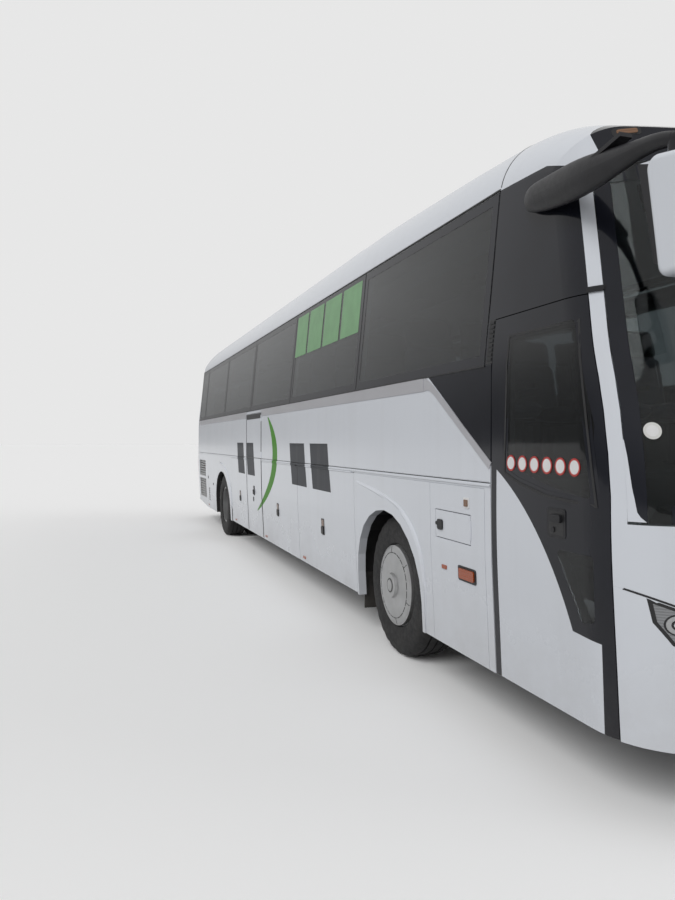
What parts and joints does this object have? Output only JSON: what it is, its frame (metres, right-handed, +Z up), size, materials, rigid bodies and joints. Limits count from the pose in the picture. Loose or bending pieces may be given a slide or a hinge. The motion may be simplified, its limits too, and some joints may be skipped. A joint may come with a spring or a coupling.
{
  "type": "coach bus",
  "caption": "Long-distance coach with steered front wheels, twin rear wheels, entrance doors, luggage doors and engine door.",
  "frame": {"origin": "on the ground, at the middle of the length (mirrors included) and of the width", "axes": "+Z up, -Y the coach's front, +Y its rear, -X the entrance side"},
  "size_m": [2.82, 13.0293, 3.62],
  "materials": {
    "white_paint": "clean gloss coach paint",
    "black_panel": "glossy black panels",
    "black_plastic": "grained black plastic",
    "grey_plastic": "grey grille plastic",
    "trim_metal": "silver-grey strip",
    "glass": "dark tinted glazing",
    "lamp_lens": "clear lamp lens over bright reflectors",
    "lamp_red": "red lamp lens",
    "tyre": "dusty black tyre rubber",
    "rubber": "black rubber",
    "wheel_metal": "satin silver wheel",
    "frame_paint": "dark chassis paint",
    "bare_steel": "grey painted sheet",
    "engine_iron": "cast iron",
    "floor_covering": "dark grey floor covering",
    "seat_fabric": "dark patterned seat cloth"
  },
  "bodies": {
    "coach": {"air_springs": "rubber", "belt_strips": "trim_metal", "cab_floor": "floor_covering", "cab_side_left": "white_paint", "chassis_frame": "frame_paint", "dashboard": "black_plastic", "driver_seat": "seat_fabric", "engine_block": "engine_iron", "floor_deck": "floor_covering", "front_axle": "frame_paint", "front_bumper": "white_paint", "front_cap": "black_panel", "front_panel": "white_paint", "headlamps": "lamp_lens", "luggage_bay": "bare_steel", "mirrors": "black_plastic", "mud_flaps": "rubber", "passenger_seats": "seat_fabric", "quarter_panels": "black_panel", "rear_axle": "frame_paint", "rear_bumper": "white_paint", "rear_wall": "white_paint", "rear_window": "glass", "roof_air_unit": "white_paint", "roof_panel": "white_paint", "side_glass": "glass", "side_grilles": "grey_plastic", "side_wall_left": "white_paint", "side_wall_right": "white_paint", "steering_wheel": "black_plastic", "tail_lamps": "lamp_red", "tow_brackets": "frame_paint", "upper_panels": "black_panel", "wheel_housings": "black_plastic", "windscreen": "glass", "wipers": "black_plastic"},
    "knuckle_right": {"knuckle_right": "engine_iron"},
    "knuckle_left": {"knuckle_left": "engine_iron"},
    "front_wheel_right": {"front_rim_right": "wheel_metal", "front_tyre_right": "tyre"},
    "front_wheel_left": {"front_rim_left": "wheel_metal", "front_tyre_left": "tyre"},
    "rear_wheels_right": {"rear_rims_right": "wheel_metal", "rear_tyres_right": "tyre"},
    "rear_wheels_left": {"rear_rims_left": "wheel_metal", "rear_tyres_left": "tyre"},
    "front_door_arms": {"front_door_arms": "frame_paint"},
    "front_door": {"front_door_frame": "black_panel", "front_door_skin": "white_paint", "front_door_glass": "glass"},
    "mid_door": {"mid_door": "white_paint"},
    "luggage_door_right_1": {"luggage_door_right_1": "white_paint"},
    "luggage_door_right_2": {"luggage_door_right_2": "white_paint"},
    "luggage_door_right_3": {"luggage_door_right_3": "white_paint"},
    "luggage_door_left_1": {"luggage_door_left_1": "white_paint"},
    "luggage_door_left_2": {"luggage_door_left_2": "white_paint"},
    "luggage_door_left_3": {"luggage_door_left_3": "white_paint"},
    "service_flap_right": {"service_flap_right": "white_paint"},
    "service_flap_left": {"service_flap_left": "white_paint"},
    "engine_door": {"engine_door": "white_paint"}
  },
  "joints": [
    {"name": "steer_right", "type": "hinge", "parent": "coach", "child": "knuckle_right", "pos_m": [-0.86, -3.624, 0.5], "axis": [0, 0, 1], "range_deg": [-38, 38]},
    {"name": "front_wheel_spin_right", "type": "hinge", "parent": "knuckle_right", "child": "front_wheel_right", "pos_m": [-1.045, -3.624, 0.5], "axis": [1, 0, 0], "continuous": true},
    {"name": "rear_wheel_spin_right", "type": "hinge", "parent": "coach", "child": "rear_wheels_right", "pos_m": [-0.918, 3.376, 0.5], "axis": [1, 0, 0], "continuous": true},
    {"name": "steer_left", "type": "hinge", "parent": "coach", "child": "knuckle_left", "pos_m": [0.86, -3.624, 0.5], "axis": [0, 0, 1], "range_deg": [-38, 38]},
    {"name": "front_wheel_spin_left", "type": "hinge", "parent": "knuckle_left", "child": "front_wheel_left", "pos_m": [1.045, -3.624, 0.5], "axis": [1, 0, 0], "continuous": true},
    {"name": "rear_wheel_spin_left", "type": "hinge", "parent": "coach", "child": "rear_wheels_left", "pos_m": [0.918, 3.376, 0.5], "axis": [1, 0, 0], "continuous": true},
    {"name": "front_door_swing", "type": "hinge", "parent": "coach", "child": "front_door_arms", "pos_m": [-1.13, -5.844, 1.26], "axis": [0, 0, 1], "range_deg": [0, 147]},
    {"name": "front_door_turn", "type": "hinge", "parent": "front_door_arms", "child": "front_door", "pos_m": [-1.09, -5.424, 1.26], "axis": [0, 0, 1], "range_deg": [-147, 0]},
    {"name": "mid_door_hinge", "type": "hinge", "parent": "coach", "child": "mid_door", "pos_m": [-1.2755, 0.426, 1.1], "axis": [0, 0, 1], "range_deg": [0, 88]},
    {"name": "luggage_door_right_1_hinge", "type": "hinge", "parent": "coach", "child": "luggage_door_right_1", "pos_m": [-1.27454, -2.111, 1.283], "axis": [0, 1, 0], "range_deg": [0, 90]},
    {"name": "luggage_door_right_2_hinge", "type": "hinge", "parent": "coach", "child": "luggage_door_right_2", "pos_m": [-1.27454, -0.414, 1.283], "axis": [0, 1, 0], "range_deg": [0, 90]},
    {"name": "luggage_door_right_3_hinge", "type": "hinge", "parent": "coach", "child": "luggage_door_right_3", "pos_m": [-1.27454, 1.961, 1.283], "axis": [0, 1, 0], "range_deg": [0, 90]},
    {"name": "luggage_door_left_1_hinge", "type": "hinge", "parent": "coach", "child": "luggage_door_left_1", "pos_m": [1.27454, -2.111, 1.283], "axis": [0, -1, 0], "range_deg": [0, 90]},
    {"name": "luggage_door_left_2_hinge", "type": "hinge", "parent": "coach", "child": "luggage_door_left_2", "pos_m": [1.27454, -0.414, 1.283], "axis": [0, -1, 0], "range_deg": [0, 90]},
    {"name": "luggage_door_left_3_hinge", "type": "hinge", "parent": "coach", "child": "luggage_door_left_3", "pos_m": [1.27454, 1.496, 1.283], "axis": [0, -1, 0], "range_deg": [0, 90]},
    {"name": "service_flap_right_hinge", "type": "hinge", "parent": "coach", "child": "service_flap_right", "pos_m": [-1.27234, -4.859, 1.04], "axis": [0, 0, 1], "range_deg": [0, 110]},
    {"name": "service_flap_left_hinge", "type": "hinge", "parent": "coach", "child": "service_flap_left", "pos_m": [1.27234, -4.859, 1.04], "axis": [0, 0, -1], "range_deg": [0, 110]},
    {"name": "engine_door_hinge", "type": "hinge", "parent": "coach", "child": "engine_door", "pos_m": [0, 6.494, 1.5], "axis": [1, 0, 0], "range_deg": [0, 85]}
  ],
  "couplings": [
    {"joint": "steer_left", "follows": "steer_right", "ratio": 1},
    {"joint": "front_door_turn", "follows": "front_door_swing", "ratio": -1}
  ]
}
